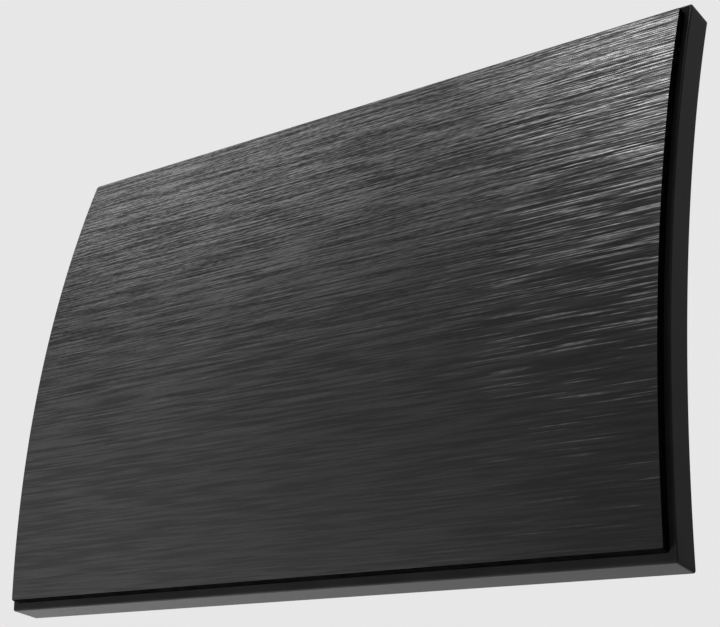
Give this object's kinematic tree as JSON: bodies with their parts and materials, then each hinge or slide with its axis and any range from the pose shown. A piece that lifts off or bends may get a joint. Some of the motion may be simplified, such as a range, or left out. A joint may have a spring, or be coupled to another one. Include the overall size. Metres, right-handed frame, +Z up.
{
  "type": "tv antenna",
  "caption": "Curved flat-panel TV antenna: a brushed front plate on a black surround, hung from keyholes in its moulded back, with a threaded aerial socket under a hump.",
  "frame": {"origin": "on the back surface, midway between the entry holes of the two keyholes", "axes": "+X along the width to the viewer's right, +Y from the front towards the wall, +Z up"},
  "size_m": [0.25, 0.0226, 0.168],
  "materials": {
    "brushed_front": "brushed along the width",
    "frame_plastic": "satin black",
    "cover_plastic": "fine moulded grain",
    "adhesive_foam": "matt",
    "screw_steel": "black zinc",
    "foot_rubber": "matt",
    "carrier_film": "smooth",
    "foil": "rolled",
    "board_laminate": "solder mask",
    "ferrite": "fired",
    "copper_wire": "enamelled",
    "chip_ceramic": "fired",
    "spring_bronze": "bright",
    "plated_socket": "nickel plate",
    "socket_insulator": "matt"
  },
  "bodies": {
    "root": {"front_panel": "brushed_front", "panel_tape": "adhesive_foam", "bezel_frame": "frame_plastic", "rear_cover": "cover_plastic", "cover_screws": "screw_steel", "wall_foot_upper_left": "foot_rubber", "wall_foot_upper_right": "foot_rubber", "wall_foot_lower_left": "foot_rubber", "wall_foot_lower_right": "foot_rubber", "antenna_film": "carrier_film", "radiator_left": "foil", "radiator_right": "foil", "balun_board": "board_laminate", "balun_core": "ferrite", "balun_winding": "copper_wire", "chip_capacitors": "chip_ceramic", "feed_spring_left": "spring_bronze", "feed_spring_right": "spring_bronze", "board_screws": "screw_steel", "coax_socket_body": "plated_socket", "coax_socket_insulator": "socket_insulator", "coax_socket_contact": "spring_bronze", "coax_socket_washer": "plated_socket", "coax_socket_nut": "plated_socket"}
  },
  "joints": []
}
